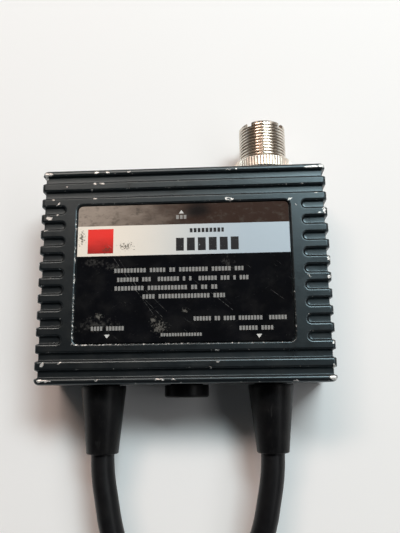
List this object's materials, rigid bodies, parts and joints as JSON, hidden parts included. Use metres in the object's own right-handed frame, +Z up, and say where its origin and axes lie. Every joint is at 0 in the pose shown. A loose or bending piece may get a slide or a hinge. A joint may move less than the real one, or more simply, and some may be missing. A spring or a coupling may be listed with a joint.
{
  "type": "rf duplexer",
  "caption": "Ribbed die-cast radio duplexer with a threaded coaxial socket, a blanked port and coaxial leads that end in threaded plugs.",
  "frame": {"origin": "centre of the back cover's outer face", "axes": "+Z up through the label, +Y towards the threaded socket, -Y towards the leads, +X to the socket's side"},
  "size_m": [0.0914, 0.3637, 0.026],
  "materials": {
    "case_paint": "satin dark grey-black paint on die-cast aluminium, chipped at the corners",
    "label_film": "glossy printed film, lightly scratched",
    "nickel_plate": "bright nickel plating",
    "black_rubber": "smooth moulded black rubber and cable jacket",
    "contact_brass": "satin plated brass",
    "screw_steel": "plated steel",
    "insulator": "matt off-white",
    "board": "green solder mask",
    "copper_wire": "enamelled copper",
    "ceramic_disc": "dipped ceramic"
  },
  "bodies": {
    "case": {"housing": "case_paint", "back_cover": "case_paint", "cover_screw_1": "screw_steel", "cover_screw_2": "screw_steel", "cover_screw_3": "screw_steel", "cover_screw_4": "screw_steel", "label_plate": "label_film", "socket_body": "nickel_plate", "socket_insulator": "insulator", "socket_contact": "contact_brass", "socket_ring_nut": "nickel_plate", "socket_gasket": "black_rubber", "left_boot": "black_rubber", "right_boot": "black_rubber", "blank_plug": "black_rubber", "circuit_board": "board", "board_screw_1": "screw_steel", "board_screw_2": "screw_steel", "board_screw_3": "screw_steel", "board_screw_4": "screw_steel", "low_pass_coil_1": "copper_wire", "low_pass_coil_2": "copper_wire", "low_pass_coil_3": "copper_wire", "high_pass_coil_1": "copper_wire", "high_pass_coil_2": "copper_wire", "low_pass_capacitor_1": "ceramic_disc", "low_pass_capacitor_2": "ceramic_disc", "low_pass_capacitor_3": "ceramic_disc", "high_pass_capacitor_1": "ceramic_disc", "high_pass_capacitor_2": "ceramic_disc", "high_pass_capacitor_3": "ceramic_disc", "feed_link": "copper_wire", "left_lead_core": "insulator", "right_lead_core": "insulator", "left_lead_conductor": "copper_wire", "right_lead_conductor": "copper_wire", "left_lead_braid": "copper_wire", "right_lead_braid": "copper_wire", "left_cable": "black_rubber", "right_cable": "black_rubber", "left_plug_body": "nickel_plate", "right_plug_body": "nickel_plate", "left_plug_insulator": "insulator", "right_plug_insulator": "insulator", "left_plug_pin": "contact_brass", "right_plug_pin": "contact_brass"},
    "left_sleeve": {"left_coupling": "nickel_plate"},
    "right_sleeve": {"right_coupling": "nickel_plate"}
  },
  "joints": [
    {"name": "left_sleeve_turn", "type": "hinge", "parent": "case", "child": "left_sleeve", "pos_m": [0.0235, -0.298, 0.0091], "axis": [0, -1, 0], "continuous": true},
    {"name": "right_sleeve_turn", "type": "hinge", "parent": "case", "child": "right_sleeve", "pos_m": [-0.0235, -0.298, 0.0091], "axis": [0, -1, 0], "continuous": true}
  ]
}
